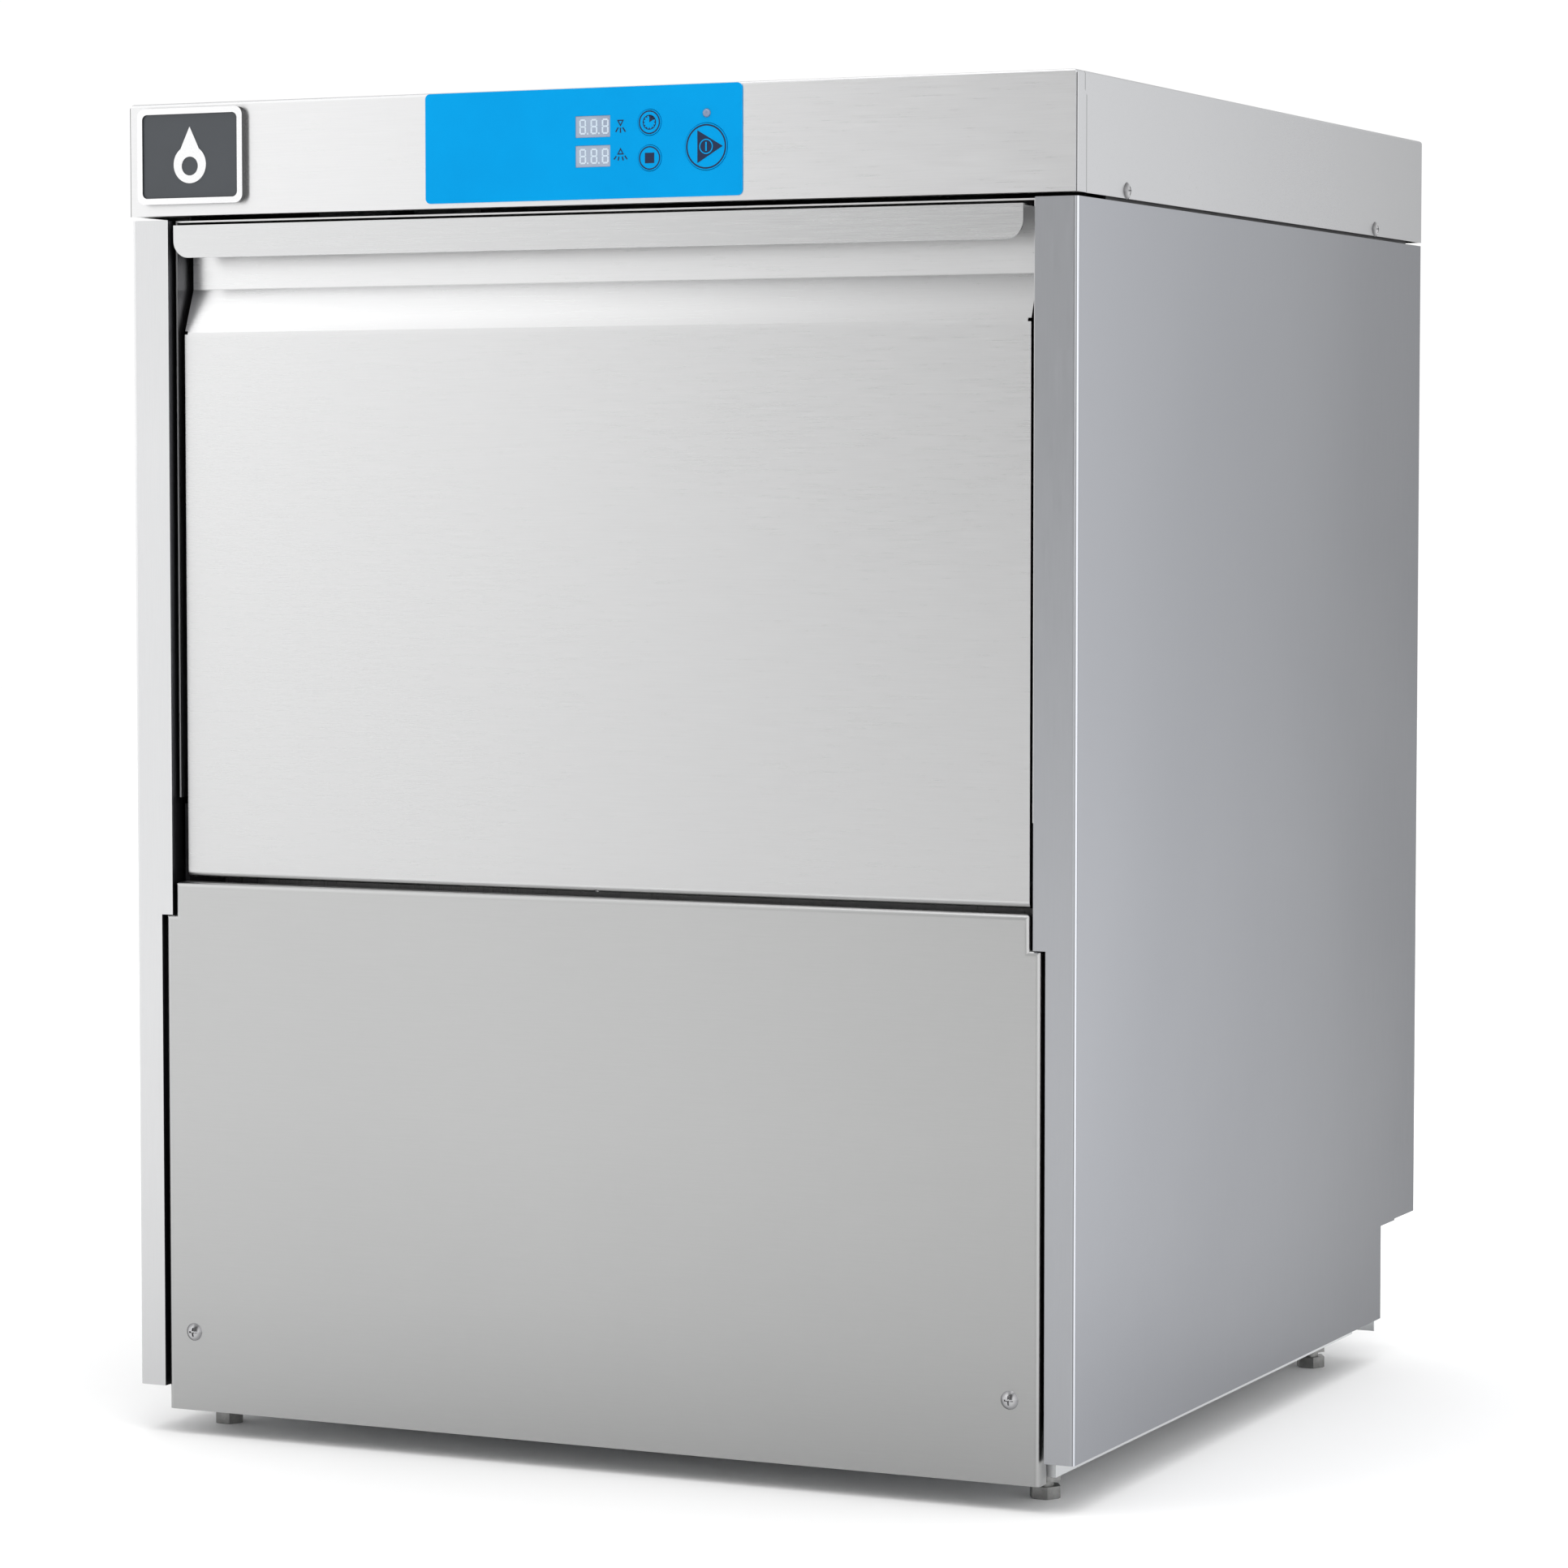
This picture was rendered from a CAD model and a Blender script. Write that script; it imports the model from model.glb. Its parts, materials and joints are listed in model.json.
import json
import math

import bmesh
import bpy
from mathutils import Matrix, Vector


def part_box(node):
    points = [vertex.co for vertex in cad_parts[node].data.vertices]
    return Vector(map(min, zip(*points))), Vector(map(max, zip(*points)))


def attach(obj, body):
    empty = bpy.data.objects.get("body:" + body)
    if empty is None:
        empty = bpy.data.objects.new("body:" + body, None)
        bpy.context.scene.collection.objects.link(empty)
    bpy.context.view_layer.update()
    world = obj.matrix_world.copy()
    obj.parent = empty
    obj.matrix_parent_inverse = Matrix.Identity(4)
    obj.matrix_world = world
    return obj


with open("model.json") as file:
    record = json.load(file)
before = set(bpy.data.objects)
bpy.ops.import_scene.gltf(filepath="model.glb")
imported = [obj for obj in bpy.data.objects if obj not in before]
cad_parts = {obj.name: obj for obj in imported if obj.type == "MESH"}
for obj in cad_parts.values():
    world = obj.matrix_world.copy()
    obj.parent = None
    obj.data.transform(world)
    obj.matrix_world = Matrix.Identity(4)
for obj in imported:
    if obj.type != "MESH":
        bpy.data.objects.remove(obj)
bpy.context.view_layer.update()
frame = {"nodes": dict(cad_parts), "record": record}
NODES = frame["nodes"]


# ---------------------------------------------------------------- helpers
def mid(node):
    lo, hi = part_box(node)
    return (Vector(lo) + Vector(hi)) / 2


def srgb(r, g, b):
    """A 0-255 screen colour as the linear colour a shader wants."""
    def lin(c):
        c /= 255.0
        return c / 12.92 if c <= 0.04045 else ((c + 0.055) / 1.055) ** 2.4
    return (lin(r), lin(g), lin(b), 1.0)


class Mat:
    """A small helper for building node materials."""

    def __init__(self, name):
        self.m = bpy.data.materials.new(name)
        self.m.use_nodes = True
        self.t = self.m.node_tree
        self.t.nodes.clear()
        self.out = self.t.nodes.new("ShaderNodeOutputMaterial")
        self.b = self.t.nodes.new("ShaderNodeBsdfPrincipled")
        self.t.links.new(self.b.outputs["BSDF"], self.out.inputs["Surface"])
        self.co = self.t.nodes.new("ShaderNodeTexCoord").outputs["Object"]

    def node(self, kind, **values):
        n = self.t.nodes.new(kind)
        for k, v in values.items():
            setattr(n, k, v)
        return n

    def link(self, a, b):
        self.t.links.new(a, b)

    def stretch(self, scale, turn=(0, 0, 0)):
        n = self.node("ShaderNodeMapping")
        n.inputs["Scale"].default_value = scale
        n.inputs["Rotation"].default_value = turn
        self.link(self.co, n.inputs["Vector"])
        return n.outputs["Vector"]

    def noise(self, vector, scale, detail=4.0, rough=0.55, distort=0.0):
        n = self.node("ShaderNodeTexNoise")
        n.inputs["Scale"].default_value = scale
        n.inputs["Detail"].default_value = detail
        n.inputs["Roughness"].default_value = rough
        n.inputs["Distortion"].default_value = distort
        self.link(vector, n.inputs["Vector"])
        return n.outputs["Fac"]

    def ramp(self, fac, stops):
        n = self.node("ShaderNodeValToRGB")
        el = n.color_ramp.elements
        while len(el) < len(stops):
            el.new(0.5)
        for e, (p, c) in zip(el, stops):
            e.position = p
            e.color = c if len(c) == 4 else (*c, 1.0)
        self.link(fac, n.inputs["Fac"])
        return n.outputs["Color"]

    def range(self, fac, lo, hi, a=0.0, b=1.0):
        n = self.node("ShaderNodeMapRange")
        n.inputs["From Min"].default_value = a
        n.inputs["From Max"].default_value = b
        n.inputs["To Min"].default_value = lo
        n.inputs["To Max"].default_value = hi
        self.link(fac, n.inputs["Value"])
        return n.outputs["Result"]

    def math(self, op, a, b):
        n = self.node("ShaderNodeMath", operation=op)
        for i, v in enumerate((a, b)):
            if isinstance(v, (int, float)):
                n.inputs[i].default_value = v
            else:
                self.link(v, n.inputs[i])
        return n.outputs["Value"]

    def mix(self, fac, a, b, kind="MIX"):
        n = self.node("ShaderNodeMix", data_type="RGBA", blend_type=kind)
        for i, v in ((0, fac), (6, a), (7, b)):
            if isinstance(v, (int, float, tuple)):
                n.inputs[i].default_value = v
            else:
                self.link(v, n.inputs[i])
        return n.outputs[2]

    def bump(self, height, strength, distance, before=None):
        n = self.node("ShaderNodeBump")
        n.inputs["Strength"].default_value = strength
        n.inputs["Distance"].default_value = distance
        self.link(height, n.inputs["Height"])
        if before is not None:
            self.link(before, n.inputs["Normal"])
        self.link(n.outputs["Normal"], self.b.inputs["Normal"])
        return n.outputs["Normal"]

    def set(self, **values):
        for k, v in values.items():
            s = self.b.inputs[k.replace("_", " ")]
            if hasattr(v, "is_output"):
                self.link(v, s)
            else:
                s.default_value = v
        return self


def scaled(tone, factor):
    """The same colour, lighter or darker, as an opaque colour."""
    return tuple(c * factor for c in tone[:3]) + (1.0,)


def lighter(tone, factor):
    return tuple(min(1.0, c * factor) for c in tone[:3])


# ---------------------------------------------------------------- materials
EVEN = (1, 1, 1)
# how the noise is squeezed for a grain that runs along each axis
GRAIN = {"x": (1.2, 60, 60), "y": (60, 1.2, 60), "z": (60, 60, 1.2)}


# how far a fold's lines reach from its edge, in metres
LINE_REACH = 0.004
BRUSH_ANISOTROPY = 0.6
QUARTER_TURN = 0.25
GRAIN_DEPTH = 0.00008


def edge_lines(m, base, lines):
    """Light and dark lines that a fold shows along an edge.

    lines lists (axis, where the edge is, axis the face looks along, stops), and stops lists
    (place 0-1 of the reach, factor)."""
    place = m.node("ShaderNodeSeparateXYZ")
    m.link(m.co, place.inputs["Vector"])
    facing = m.node("ShaderNodeSeparateXYZ")
    m.link(m.node("ShaderNodeNewGeometry").outputs["Normal"], facing.inputs["Vector"])
    for axis, edge, face, stops in lines:
        away = m.math("ABSOLUTE", m.math("SUBTRACT", place.outputs[axis], edge), 0.0)
        shade = m.ramp(m.range(away, 0.0, 1.0, 0.0, LINE_REACH), [(p, (f, f, f)) for p, f in stops])
        on_face = m.range(m.math("ABSOLUTE", facing.outputs[face], 0.0), 0.0, 1.0, 0.6, 0.8)
        base = m.mix(on_face, base, m.mix(1.0, base, shade, "MULTIPLY"))
    return base


def facing_tones(m, base, tones):
    """Multiplies the colour where a face looks along an axis: (axis, sign or 0 for both, factor)."""
    facing = m.node("ShaderNodeSeparateXYZ")
    m.link(m.node("ShaderNodeNewGeometry").outputs["Normal"], facing.inputs["Vector"])
    for axis, sign, factor in tones:
        along_axis = facing.outputs[axis]
        turned = m.math("MULTIPLY", along_axis, sign) if sign else m.math("ABSOLUTE", along_axis, 0.0)
        turned = m.range(turned, 0.0, 1.0, 0.3, 0.9)
        base = m.mix(turned, base, m.mix(1.0, base, tuple(factor) + (1.0,), "MULTIPLY"))
    return base


def brushed_steel(name, tone, along="x", rough=(0.26, 0.36), grain=0.10, smudge=0.03,
                  drift=(), tones=(), lines=()):
    """Sheet steel with a fine brushed grain along one axis, faint smears and slow tone drift.

    drift lists (axis, [(place 0-1, factor), ...]) over the sheet's own length. It stands in for the
    slow shading that a studio's reflections give, and isn't a property of the steel. tones and
    lines are those of facing_tones and edge_lines."""
    m = Mat(name)
    fine = m.noise(m.stretch(GRAIN[along]), 26.0, 6.0, 0.72)
    coarse = m.noise(m.stretch([s / 4 if s > 2 else s / 2 for s in GRAIN[along]]), 14.0, 4.0, 0.6)
    slow = m.noise(m.stretch(EVEN), 2.3, 3.0, 0.5, 0.6)
    streaks = m.math("ADD", m.math("MULTIPLY", fine, 0.9), m.math("MULTIPLY", coarse, 0.1))
    base = m.ramp(streaks, [(0.30, scaled(tone, 0.97)), (0.70, lighter(tone, 1.02))])
    smear = (tone[0] * 0.8, tone[1] * 0.81, tone[2] * 0.83, 1.0)
    base = m.mix(m.range(slow, 0.0, smudge * 2), base, smear)
    if drift:
        place = m.node("ShaderNodeSeparateXYZ")
        m.link(m.node("ShaderNodeTexCoord").outputs["Generated"], place.inputs["Vector"])
        for axis, stops in drift:
            shade = m.ramp(place.outputs[axis], [(p, (f, f, f)) for p, f in stops])
            base = m.mix(1.0, base, shade, "MULTIPLY")
    if tones:
        base = facing_tones(m, base, tones)
    if lines:
        base = edge_lines(m, base, lines)
    rough_out = m.math("ADD", m.range(streaks, rough[0], rough[1], 0.3, 0.7),
                       m.range(slow, -smudge, smudge, 0.3, 0.7))
    m.set(Base_Color=base, Metallic=1.0, Roughness=rough_out, Anisotropic=BRUSH_ANISOTROPY)
    m.b.inputs["Anisotropic Rotation"].default_value = QUARTER_TURN if along == "x" else 0.0
    m.bump(streaks, grain, GRAIN_DEPTH)
    return m.m


def polished(name, tone, rough=0.14, dirt=0.06):
    """Bright plated metal with fine scuffs."""
    m = Mat(name)
    scuff = m.noise(m.stretch(EVEN), 900.0, 5.0, 0.7)
    slow = m.noise(m.stretch(EVEN), 60.0, 3.0, 0.5)
    base = m.mix(m.range(slow, 0.0, dirt * 2), tone, scaled(tone, 0.7))
    m.set(Base_Color=base, Metallic=1.0, Roughness=m.range(scuff, rough * 0.8, rough * 1.6, 0.3, 0.7))
    m.bump(scuff, 0.08, 0.00005)
    return m.m


def dull_metal(name, tone, rough=(0.42, 0.62), metal=0.85):
    """Zinc-plated or blackened steel with a blotched surface."""
    m = Mat(name)
    blot = m.noise(m.stretch(EVEN), 140.0, 6.0, 0.65)
    fine = m.noise(m.stretch(EVEN), 1500.0, 3.0, 0.6)
    base = m.ramp(blot, [(0.32, scaled(tone, 0.72)), (0.70, scaled(tone, 1.15))])
    m.set(Base_Color=base, Metallic=metal, Roughness=m.range(blot, rough[0], rough[1], 0.3, 0.7))
    m.bump(fine, 0.18, 0.00006)
    return m.m


def plastic(name, tone, rough=(0.34, 0.46), grain=0.12, scale=1400.0, coat=0.0):
    """Moulded plastic with a fine grain and slight colour drift."""
    m = Mat(name)
    fine = m.noise(m.stretch(EVEN), scale, 3.0, 0.55)
    slow = m.noise(m.stretch(EVEN), 35.0, 4.0, 0.55)
    base = m.ramp(slow, [(0.30, scaled(tone, 0.94)), (0.72, lighter(tone, 1.05))])
    m.set(Base_Color=base, Roughness=m.range(slow, rough[0], rough[1], 0.3, 0.7))
    m.b.inputs["Coat Weight"].default_value = coat
    m.b.inputs["Coat Roughness"].default_value = 0.18
    m.bump(fine, grain, 0.00006)
    return m.m


def rubber(name, tone=(0.022, 0.022, 0.024)):
    """Matt black rubber with a little dust."""
    m = Mat(name)
    fine = m.noise(m.stretch(EVEN), 900.0, 5.0, 0.7)
    dust = m.noise(m.stretch(EVEN), 18.0, 5.0, 0.6)
    base = m.ramp(dust, [(0.35, tone), (0.8, scaled(tone, 2.4))])
    m.set(Base_Color=base, Roughness=m.range(fine, 0.62, 0.82, 0.3, 0.7))
    m.bump(fine, 0.3, 0.0001)
    return m.m


def membrane(name):
    """Printed polyester film: satin blue with a barely visible orange-peel texture."""
    m = Mat(name)
    peel = m.noise(m.stretch(EVEN), 1100.0, 2.0, 0.5)
    slow = m.noise(m.stretch(EVEN), 22.0, 3.0, 0.5)
    base = m.ramp(slow, [(0.30, srgb(0, 148, 214)[:3]), (0.72, srgb(0, 154, 220)[:3])])
    m.set(Base_Color=base, Roughness=m.range(peel, 0.36, 0.44, 0.3, 0.7))
    m.b.inputs["Specular IOR Level"].default_value = 0.05
    m.bump(peel, 0.10, 0.00004)
    return m.m


def facing_mix(mat, keep_axes, dark, metal, start=0.35, end=0.6):
    """Darkens the faces of a piece that look along none of the kept axes, such as a plate's flanks.

    metal says whether the dark faces stay metallic."""
    m = mat.node_tree
    b = next(n for n in m.nodes if n.type == "BSDF_PRINCIPLED")
    split_n = m.nodes.new("ShaderNodeSeparateXYZ")
    m.links.new(m.nodes.new("ShaderNodeNewGeometry").outputs["Normal"], split_n.inputs["Vector"])
    size = None
    for axis in keep_axes:
        one = m.nodes.new("ShaderNodeMath")
        one.operation = "ABSOLUTE"
        m.links.new(split_n.outputs[axis], one.inputs[0])
        if size is not None:
            both = m.nodes.new("ShaderNodeMath")
            both.operation = "MAXIMUM"
            m.links.new(size.outputs["Value"], both.inputs[0])
            m.links.new(one.outputs["Value"], both.inputs[1])
            one = both
        size = one
    step = m.nodes.new("ShaderNodeMapRange")
    for key, v in (("From Min", start), ("From Max", end), ("To Min", 0.0), ("To Max", 1.0)):
        step.inputs[key].default_value = v
    m.links.new(size.outputs["Value"], step.inputs["Value"])
    mix = m.nodes.new("ShaderNodeMix")
    mix.data_type = "RGBA"
    m.links.new(step.outputs["Result"], mix.inputs[0])
    mix.inputs[6].default_value = dark
    m.links.new(b.inputs["Base Color"].links[0].from_socket, mix.inputs[7])
    m.links.new(mix.outputs[2], b.inputs["Base Color"])
    if not metal:
        m.links.new(step.outputs["Result"], b.inputs["Metallic"])
    return mat


def print_ink(name, tone):
    """Screen-printing ink on the film."""
    m = Mat(name)
    fine = m.noise(m.stretch(EVEN), 1600.0, 3.0, 0.6)
    base = m.ramp(fine, [(0.3, scaled(tone, 0.9)), (0.7, lighter(tone, 1.12))])
    m.set(Base_Color=base, Roughness=m.range(fine, 0.42, 0.52, 0.3, 0.7))
    m.b.inputs["Specular IOR Level"].default_value = 0.3
    return m.m


def window_film(name):
    """The display's smoky window, a little lighter towards its middle."""
    m = Mat(name)
    slow = m.noise(m.stretch(EVEN), 45.0, 2.0, 0.5)
    fine = m.noise(m.stretch(EVEN), 1500.0, 2.0, 0.5)
    base = m.ramp(slow, [(0.3, srgb(140, 152, 172)[:3]), (0.7, srgb(156, 168, 186)[:3])])
    m.set(Base_Color=base, Roughness=m.range(fine, 0.16, 0.24, 0.3, 0.7))
    m.b.inputs["Coat Weight"].default_value = 0.4
    m.b.inputs["Coat Roughness"].default_value = 0.08
    return m.m


STEEL = (0.765, 0.765, 0.768, 1.0)
DOOR = (0.725, 0.726, 0.728, 1.0)
PANEL = (0.50, 0.502, 0.50, 1.0)
SIDE = (0.405, 0.417, 0.450, 1.0)
SIDE_LEFT = (0.79, 0.793, 0.80, 1.0)
TO_BACK = (("Y", [(0.0, 1.0), (0.3, 0.82), (0.55, 0.70), (0.8, 0.55), (1.0, 0.48)]),)
LEFT_DOWN = TO_BACK + (("Z", [(0.0, 0.66), (0.35, 0.86), (0.8, 1.0)]),)
COVER_BACK = (("Y", [(0.0, 1.0), (0.3, 0.90), (1.0, 0.62)]),)
SIDE_DRIFT = TO_BACK + (("Z", [(0.0, 0.79), (0.45, 0.95), (1.0, 1.0)]),)
DOOR_DOWN = (("Z", [(0.0, 0.86), (0.5, 0.95), (0.83, 1.0), (0.86, 1.14), (1.0, 1.14)]),
             ("X", [(0.0, 1.0), (0.4, 0.98), (1.0, 0.92)]))
PANEL_DOWN = (("Z", [(0.0, 0.74), (0.25, 0.86), (0.6, 0.95), (1.0, 1.0)]),
              ("X", [(0.0, 1.0), (0.6, 1.0), (1.0, 0.94)]))
# a thin dark line beside the edge of the cover's corner tab, this far behind its front, in metres
CORNER_TAB = 0.014
COVER_LO, COVER_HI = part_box("top_cover")
STILE_LO, STILE_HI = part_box("side_panel_right")
LEFT_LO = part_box("side_panel_left")[0]
BRIGHT_FOLD = [(0.0, 2.1), (0.12, 2.1), (0.15, 0.4), (0.27, 0.4), (0.31, 1.0)]
SIDE_FOLD = [(0.0, 2.0), (0.45, 2.0), (0.50, 0.75), (0.60, 0.75), (0.65, 1.0)]
DARK_FOLD = [(0.0, 0.30), (0.12, 0.38), (0.17, 1.0)]
COVER_LINES = (("X", COVER_HI[0], "Y", [(0.0, 0.28), (0.16, 0.28), (0.20, 1.0)]),
               ("Y", COVER_LO[1], "X", [(0.0, 1.3), (0.35, 1.3), (0.40, 1.0)]),
               ("X", COVER_LO[0], "Y", DARK_FOLD), ("Z", COVER_HI[2], "Y", DARK_FOLD),
               ("Z", COVER_HI[2], "X", DARK_FOLD),
               ("Y", COVER_LO[1] + CORNER_TAB, "X", [(0.0, 0.45), (0.09, 0.45), (0.14, 1.0)]))
SIDE_LINES = (("X", STILE_HI[0], "Y", BRIGHT_FOLD), ("Y", STILE_LO[1], "X", SIDE_FOLD))
LEFT_LINES = (("X", LEFT_LO[0], "Y", DARK_FOLD), ("Y", LEFT_LO[1], "X", SIDE_FOLD))
# painted shade on the stiles' inner returns, for the same reason as the brackets below
INNER_SHADE = (0.05, 0.05, 0.055)
# roughness of the duller sheets, and the dark tone on plated flanks
SATIN = (0.30, 0.38)
FLANK = (0.10, 0.10, 0.105, 1.0)
mats = {
    "brushed_cover_steel": brushed_steel("cover steel brushed along X", STEEL, "x", drift=COVER_BACK,
                                         tones=(("X", 0, (0.73, 0.738, 0.755)),
                                                ("Z", 1, (0.66, 0.663, 0.67))),
                                         lines=COVER_LINES),
    "brushed_side_steel": brushed_steel("side steel brushed upright", SIDE, "z", SATIN, drift=SIDE_DRIFT,
                                        tones=(("X", -1, INNER_SHADE), ("Y", 0, (1.06, 1.05, 1.02))),
                                        lines=SIDE_LINES),
    "plain_sheet_steel": brushed_steel("mill sheet", (0.66, 0.67, 0.68, 1.0), "z", (0.34, 0.46), 0.12, 0.06),
    "chamber_steel": brushed_steel("chamber steel", (0.78, 0.785, 0.79, 1.0), "x", (0.22, 0.32), 0.12, 0.05),
    "screw_chrome": polished("bright plated", (0.42, 0.42, 0.43, 1.0), 0.16),
    "dark_zinc_steel": dull_metal("dark zinc", (0.10, 0.10, 0.105, 1.0)),
    "blue_membrane": membrane("blue film"),
    "display_window": window_film("display window"),
    "display_segments": print_ink("unlit segments", srgb(196, 210, 222)),
    "led_lens": plastic("lamp lens", srgb(116, 134, 162), (0.16, 0.24), 0.05, 1400.0, 0.5),
    "circuit_board": plastic("circuit board", (0.02, 0.12, 0.06, 1.0)),
    "badge_dark": plastic("badge field", srgb(58, 62, 67), (0.3, 0.4), 0.2, 2200.0, 0.2),
    "black_rubber": rubber("black rubber"),
    "black_plastic": plastic("black plastic", (0.018, 0.018, 0.02, 1.0), (0.42, 0.56), 0.3),
    "motor_paint": plastic("motor paint", (0.03, 0.035, 0.04, 1.0), (0.3, 0.42), 0.35, 600.0),
    "blue_plastic": plastic("blue rack plastic", srgb(40, 92, 156), (0.38, 0.5), 0.2),
    "grey_plastic": plastic("grey plastic", srgb(150, 152, 154), (0.42, 0.54), 0.2),
    "valve_brass": dull_metal("cast brass", (0.62, 0.44, 0.17, 1.0), (0.28, 0.42), 1.0),
}
nickel = dull_metal("nickel plated steel", (0.30, 0.30, 0.295, 1.0), (0.3, 0.45), 1.0)
for s in frame["record"]["subparts"]:
    o = NODES[s["node"]]
    o.data.materials.clear()
    o.data.materials.append(mats[s["material_slot"]])


def dress(name, mat):
    """Gives one CAD piece a material of its own."""
    NODES[name].data.materials[0] = mat


# tones tuned sheet by sheet to the look of the picture under this light. They are no measure of
# the steel: the real sheets may well be all the same
LIP = (0.66, 0.662, 0.665, 1.0)
dress("door_handle_lip", brushed_steel("lip steel", LIP, "x", (0.22, 0.30)))
dress("door_skin", brushed_steel("door steel", DOOR, "x", grain=0.06, drift=DOOR_DOWN))
dress("lower_front_panel", brushed_steel("lower panel steel", PANEL, "x", SATIN, 0.06, drift=PANEL_DOWN))
dress("side_panel_left", brushed_steel("left side steel", SIDE_LEFT, "z", SATIN, drift=LEFT_DOWN,
                                       tones=(("X", 1, INNER_SHADE),), lines=LEFT_LINES))

for name in ("levelling_feet", "foot_lock_nuts"):
    dress(name, nickel)
RIM = (0.88, 0.88, 0.885, 1.0)
dress("badge_rim", facing_mix(polished("badge rim", RIM), "Y", (0.015, 0.015, 0.016, 1.0), False))
FRAME = (0.80, 0.80, 0.80, 1.0)
dress("chamber_front_frame", facing_mix(brushed_steel("front frame steel", FRAME, "z"), "Y", FLANK, True))
# the domed screw heads are bright in the middle and dark towards their rims
RIM_TURN, MIDDLE_TURN = 0.68, 0.93
dress("front_panel_screws", facing_mix(polished("panel screws", (0.44, 0.44, 0.45, 1.0), 0.16),
                                       "Y", FLANK, True, RIM_TURN, MIDDLE_TURN))
dress("sheet_screws", facing_mix(polished("sheet screws", (0.50, 0.50, 0.51, 1.0), 0.16),
                                 "XY", (0.03, 0.03, 0.032, 1.0), True, RIM_TURN, MIDDLE_TURN))
dress("badge_emblem", polished("badge emblem", (0.90, 0.90, 0.905, 1.0), 0.2))
# nearly black, so that the gap round the door reads as dark as it should: these are plain steel
shaded = dull_metal("shaded bracket steel", (0.035, 0.035, 0.038, 1.0))
for name in ("hinge_brackets", "chassis_posts"):
    dress(name, shaded)
dress("top_rails", mats["dark_zinc_steel"])


def soften(node, width, segments=2, angle=40.0):
    """A small bevel on a CAD sheet part, so that its edges catch the light."""
    b = NODES[node].modifiers.new("edge", "BEVEL")
    b.width = width
    b.segments = segments
    b.limit_method = "ANGLE"
    b.angle_limit = math.radians(angle)
    b.harden_normals = True


def new_piece(name, bm, body, mat, smooth=False):
    """Makes a visual piece that rides on a body and keeps the finish of a slot."""
    me = bpy.data.meshes.new(name)
    bmesh.ops.recalc_face_normals(bm, faces=bm.faces)
    bm.to_mesh(me)
    bm.free()
    o = bpy.data.objects.new(name, me)
    bpy.context.scene.collection.objects.link(o)
    me.materials.append(mat)
    if smooth:
        for p in me.polygons:
            p.use_smooth = True
    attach(o, body)


# ---------------------------------------------------------------- printed symbols
INK = print_ink("navy ink", srgb(20, 36, 68))
INK_T = 0.00008
CIRCLE_SIDES = 72
FILM_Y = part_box("control_membrane")[0][1]


def extrude_outline(bm, outer, y, inner=None):
    """Adds a thin plate in the XZ plane from a closed outline, with an optional matching inner ring."""
    def ring(points, yy):
        return [bm.verts.new((p[0], yy, p[1])) for p in points]
    n = len(outer)
    a0, a1 = ring(outer, y), ring(outer, y - INK_T)
    if inner:
        b0, b1 = ring(inner, y), ring(inner, y - INK_T)
        for i in range(n):
            j = (i + 1) % n
            bm.faces.new((a1[i], a1[j], b1[j], b1[i]))
            bm.faces.new((a0[i], b0[i], b0[j], a0[j]))
            bm.faces.new((a0[i], a0[j], a1[j], a1[i]))
            bm.faces.new((b0[i], b1[i], b1[j], b0[j]))
    else:
        bm.faces.new(a1)
        bm.faces.new(list(reversed(a0)))
        for i in range(n):
            j = (i + 1) % n
            bm.faces.new((a0[i], a0[j], a1[j], a1[i]))


def at_angle(c, r, turn):
    return (c[0] + r * math.cos(turn), c[1] + r * math.sin(turn))


def circle_pts(c, r):
    return [at_angle(c, r, k * math.tau / CIRCLE_SIDES) for k in range(CIRCLE_SIDES)]


def ring_mark(bm, c, r, w, y):
    extrude_outline(bm, circle_pts(c, r), y, circle_pts(c, r - w))


def stroke(bm, a, b, w, y):
    """A straight line of width w from a to b."""
    d = Vector((b[0] - a[0], b[1] - a[1])).normalized()
    s = Vector((-d.y, d.x)) * w / 2
    corners = [(a[0] - s.x, a[1] - s.y), (b[0] - s.x, b[1] - s.y),
               (b[0] + s.x, b[1] + s.y), (a[0] + s.x, a[1] + s.y)]
    extrude_outline(bm, corners, y)


def tri(c, r, turn):
    return [at_angle(c, r, turn + k * math.tau / 3) for k in range(3)]


def tri_ring(bm, c, r, w, turn, y):
    extrude_outline(bm, tri(c, r, turn), y, tri(c, r - 2 * w, turn))


MM = 0.001
RING_INSET = 0.6 * MM
START_RING_W, RING_W = 0.85 * MM, 0.7 * MM
STOP_HALF = 2.9 * MM
DIAL_R, DIAL_W = 4.15 * MM, 0.5 * MM
TICK_FROM, TICK_TO, TICK_W = 3.0 * MM, 3.8 * MM, 0.5 * MM
WEDGE_R = 3.75 * MM
PLAY_BACK, PLAY_HALF, PLAY_TIP = 5.4 * MM, 9.1 * MM, 10.3 * MM
MARK_R, MARK_W = 4.2 * MM, 0.6 * MM
BAR_HALF, BAR_W = 2.5 * MM, 0.9 * MM


def stop_square(bm, c, y):
    h = STOP_HALF
    corners = [(c[0] - h, c[1] - h), (c[0] + h, c[1] - h), (c[0] + h, c[1] + h), (c[0] - h, c[1] + h)]
    extrude_outline(bm, corners, y)


def pie_dial(bm, c, y):
    """A dial with twelve ticks and a filled wedge from twelve to two o'clock."""
    ring_mark(bm, c, DIAL_R, DIAL_W, y)
    for a in range(0, 360, 30):
        way = Vector((math.cos(math.radians(a)), math.sin(math.radians(a))))
        stroke(bm, [c[k] + way[k] * TICK_FROM for k in (0, 1)], [c[k] + way[k] * TICK_TO for k in (0, 1)],
               TICK_W, y)
    extrude_outline(bm, [c] + [at_angle(c, WEDGE_R, math.radians(a)) for a in range(90, 29, -6)], y)


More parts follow.
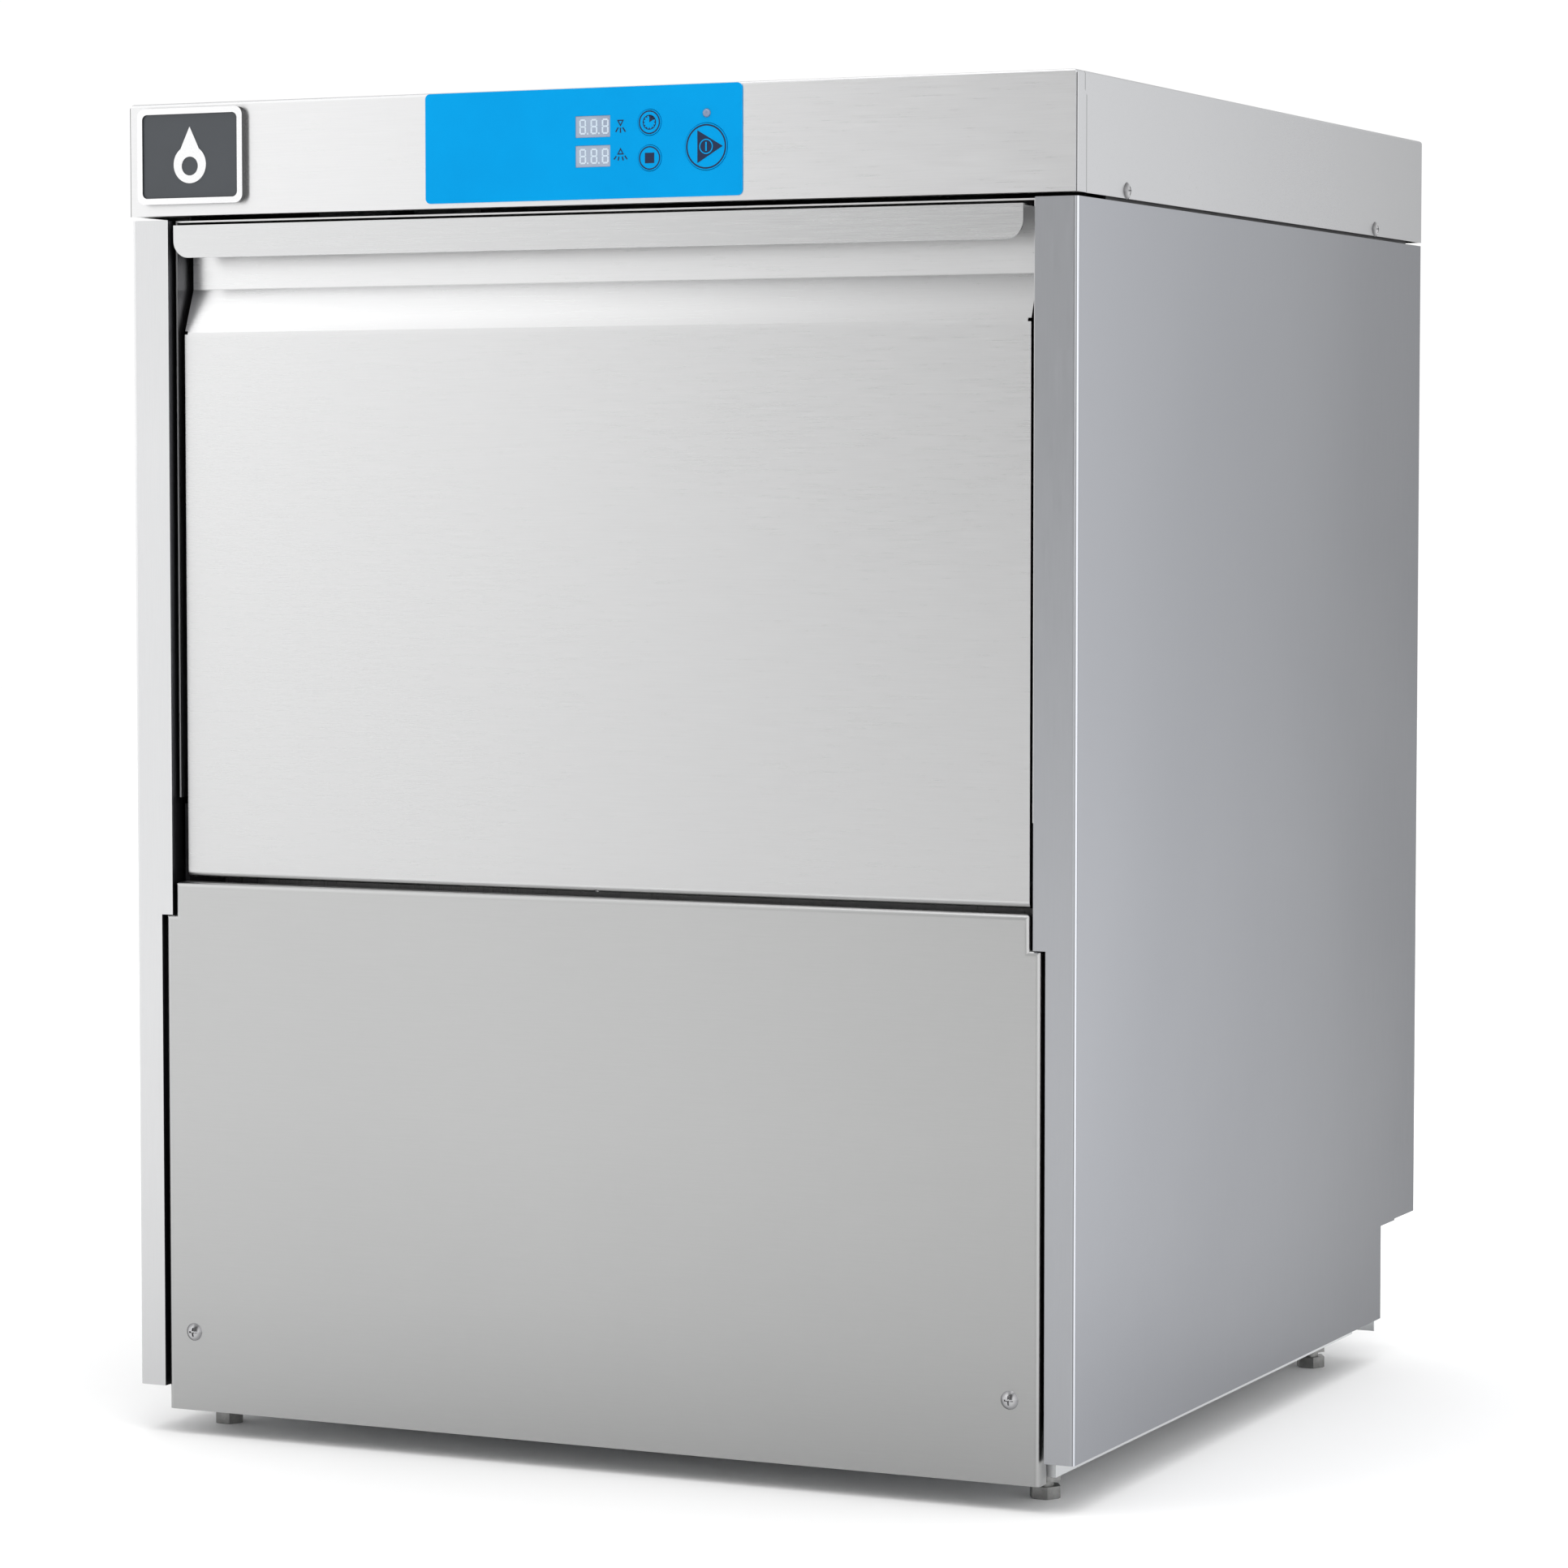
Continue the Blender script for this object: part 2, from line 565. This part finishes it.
def play_triangle(bm, c, y):
    back = c[0] - PLAY_BACK
    extrude_outline(bm, [(back, c[1] + PLAY_HALF), (back, c[1] - PLAY_HALF), (c[0] + PLAY_TIP, c[1])], y)


SIGNS = {"function_button": pie_dial, "off_button": stop_square, "start_button": play_triangle}
for node, sign in SIGNS.items():
    lo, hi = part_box(node)
    centre = mid(node)
    c = (centre.x, centre.z)
    bm = bmesh.new()
    ring_w = START_RING_W if node == "start_button" else RING_W
    ring_mark(bm, c, (hi[0] - lo[0]) / 2 - RING_INSET, ring_w, lo[1])
    sign(bm, c, lo[1])
    new_piece(node + "_print", bm, node, INK)

# the ring and bar inside the start triangle, in the film's own blue
c3, mark_y = mid("start_button"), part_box("start_button")[0][1] - INK_T
bm = bmesh.new()
ring_mark(bm, (c3.x, c3.z), MARK_R, MARK_W, mark_y)
stroke(bm, (c3.x, c3.z - BAR_HALF), (c3.x, c3.z + BAR_HALF), BAR_W, mark_y)
new_piece("start_button_mark", bm, "start_button", mats["blue_membrane"])

z0 = COVER_LO[2]
bm = bmesh.new()
SPRAY_X = 24.8 * MM
NOZZLE_R, NOZZLE_W, JET_W = 2.5 * MM, 0.6 * MM, 0.75 * MM


def spray_sign(centre_up, turn, rays):
    """A nozzle triangle with its jets, at a height above the cover's lower edge in millimetres."""
    tri_ring(bm, (SPRAY_X, z0 + centre_up * MM), NOZZLE_R, NOZZLE_W, turn, FILM_Y)
    for (x1, u1), (x2, u2) in rays:
        stroke(bm, (SPRAY_X + x1 * MM, z0 + u1 * MM), (SPRAY_X + x2 * MM, z0 + u2 * MM), JET_W, FILM_Y)


spray_sign(45.5, -math.pi / 2, (((-1.4, 42.5), (-3.0, 40.0)), ((0, 42.3), (0, 39.5)),
                                ((1.4, 42.5), (3.1, 40.0))))
spray_sign(28.6, math.pi / 2, (((-2.6, 26.5), (-4.1, 24.7)), ((-1.0, 26.2), (-1.5, 24.0)),
                               ((1.1, 26.2), (1.7, 24.0)), ((2.7, 26.6), (4.2, 24.6))))
new_piece("membrane_symbols", bm, "cabinet", INK)

# the lamp's domed lens
bm = bmesh.new()
lens = mid("status_led")
lens_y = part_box("status_led")[0][1]
LENS_R, LENS_SUNK, LENS_FLATTER = 2.35 * MM, 0.1 * MM, 0.7
bmesh.ops.create_uvsphere(bm, u_segments=48, v_segments=24, radius=LENS_R)
bmesh.ops.bisect_plane(bm, geom=bm.verts[:] + bm.edges[:] + bm.faces[:], plane_co=(0, LENS_SUNK, 0),
                       plane_no=(0, 1, 0), clear_outer=True)
for v in bm.verts:
    v.co = Vector((lens.x + v.co.x, lens_y + v.co.y * LENS_FLATTER, lens.z + v.co.z))
new_piece("status_lens", bm, "cabinet", mats["led_lens"], smooth=True)

# the folded crease above the scoop, closed over the hair-wide joint in the skin
door_lo, door_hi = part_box("door_skin")
SCOOP_DEEP, CREASE_UP, CREASE_MIDDLE = 10 * MM, 347.5 * MM, 0.2 * MM
CREASE_SHORT, CREASE_T, CREASE_H = 4 * MM, 0.08 * MM, 0.6 * MM
crease_at = (0, door_lo[1] + SCOOP_DEEP, door_lo[2] + CREASE_UP + CREASE_MIDDLE)
crease_size = (door_hi[0] - door_lo[0] - CREASE_SHORT, CREASE_T, CREASE_H, 1.0)
bm = bmesh.new()
bmesh.ops.create_cube(bm, size=1.0, matrix=Matrix.Translation(crease_at) @ Matrix.Diagonal(crease_size))
new_piece("scoop_crease", bm, "door", NODES["door_skin"].data.materials[0])

for name, width in (("top_cover", 0.00035), ("side_panel_left", 0.0003), ("side_panel_right", 0.0003),
                    ("lower_front_panel", 0.0003), ("door_skin", 0.0003), ("door_handle_lip", 0.00035),
                    ("control_membrane", 0.00015), ("badge_rim", 0.0009), ("badge_field", 0.0003),
                    ("badge_emblem", 0.0002), ("levelling_feet", 0.0004), ("foot_lock_nuts", 0.0005),
                    ("base_tray", 0.0003), ("rear_panel", 0.0002), ("rack_base", 0.0005),
                    ("rack_walls", 0.0005)):
    soften(name, width)

# ---------------------------------------------------------------- studio
FLOOR_HALF = 9.0


def floor():
    bm = bmesh.new()
    corners = ((-1, -1), (1, -1), (1, 1), (-1, 1))
    bm.faces.new([bm.verts.new((x * FLOOR_HALF, y * FLOOR_HALF, 0)) for x, y in corners])
    me = bpy.data.meshes.new("studio_floor")
    bm.to_mesh(me)
    bm.free()
    o = bpy.data.objects.new("studio_floor", me)
    bpy.context.scene.collection.objects.link(o)
    m = Mat("pale floor")
    slow = m.noise(m.stretch(EVEN), 3.0, 3.0, 0.5)
    m.set(Base_Color=m.ramp(slow, [(0.3, (0.93, 0.93, 0.93)), (0.7, (0.95, 0.95, 0.95))]), Roughness=0.85)
    me.materials.append(m.m)


floor()


def area(name, place, target, size, power):
    """A rectangular soft light that points at a target."""
    d = bpy.data.lights.new(name, "AREA")
    d.shape = "RECTANGLE"
    d.size, d.size_y = size
    d.energy = power
    o = bpy.data.objects.new(name, d)
    o.location = place
    o.rotation_euler = (Vector(target) - Vector(place)).to_track_quat("-Z", "Y").to_euler()
    bpy.context.scene.collection.objects.link(o)


area("key softbox", (-2.6, -3.2, 2.6), (0, -0.2, 0.45), (2.6, 2.6), 8)
area("top softbox", (0.4, -0.4, 3.4), (0, 0, 0.4), (3.2, 3.2), 38)

w = bpy.data.worlds.new("studio")
bpy.context.scene.world = w
w.use_nodes = True
sky = w.node_tree


def sky_math(op, *values):
    n = sky.nodes.new("ShaderNodeMath")
    n.operation = op
    for socket, v in zip(n.inputs, values):
        if isinstance(v, (int, float)):
            socket.default_value = v
        else:
            sky.links.new(v, socket)
    return n.outputs["Value"]


def sky_step(value, a, b, lo, hi):
    n = sky.nodes.new("ShaderNodeMapRange")
    n.interpolation_type = "SMOOTHSTEP"
    for key, v in (("From Min", a), ("From Max", b), ("To Min", lo), ("To Max", hi)):
        n.inputs[key].default_value = v
    sky.links.new(value, n.inputs["Value"])
    return n.outputs["Result"]


def sky_blend(fac, a, b):
    rest = sky_math("SUBTRACT", 1.0, fac)
    return sky_math("ADD", sky_math("MULTIPLY", rest, a), sky_math("MULTIPLY", fac, b))


# the room: bright on the left of the camera, dim to its right, with a bright screen at the far right
split = sky.nodes.new("ShaderNodeSeparateXYZ")
sky.links.new(sky.nodes.new("ShaderNodeTexCoord").outputs["Generated"], split.inputs["Vector"])
dx, dy, dz = (split.outputs[k] for k in "XYZ")
front = sky_math("ADD", sky_step(dx, -0.57, -0.27, 1.27, 0.16), sky_step(dx, 0.12, 0.4, 0.0, 1.4))
BACK, OVERHEAD = 1.02, 1.4
level = sky_blend(sky_step(dy, -0.25, 0.25, 0.0, 1.0), front, BACK)
level = sky_blend(sky_step(dz, 0.6, 0.95, 0.0, 1.0), level, OVERHEAD)
sky.nodes["Background"].inputs["Color"].default_value = (1, 1, 1, 1)
sky.links.new(level, sky.nodes["Background"].inputs["Strength"])

# ---------------------------------------------------------------- camera
cam_d = bpy.data.cameras.new("camera")
cam = bpy.data.objects.new("camera", cam_d)
bpy.context.scene.collection.objects.link(cam)
cam_d.sensor_width = 36.0
cam_d.lens = 113.05
YAW, PITCH = -0.436, -0.059
cam.location = (1.2834, -2.7887, 0.5601)
look = Vector((math.sin(YAW) * math.cos(PITCH), math.cos(YAW) * math.cos(PITCH), math.sin(PITCH)))
cam.rotation_euler = look.to_track_quat("-Z", "Y").to_euler()
cam_d.clip_end = 50
bpy.context.scene.camera = cam
bpy.context.scene.view_settings.view_transform = "Standard"

bpy.context.view_layer.update()
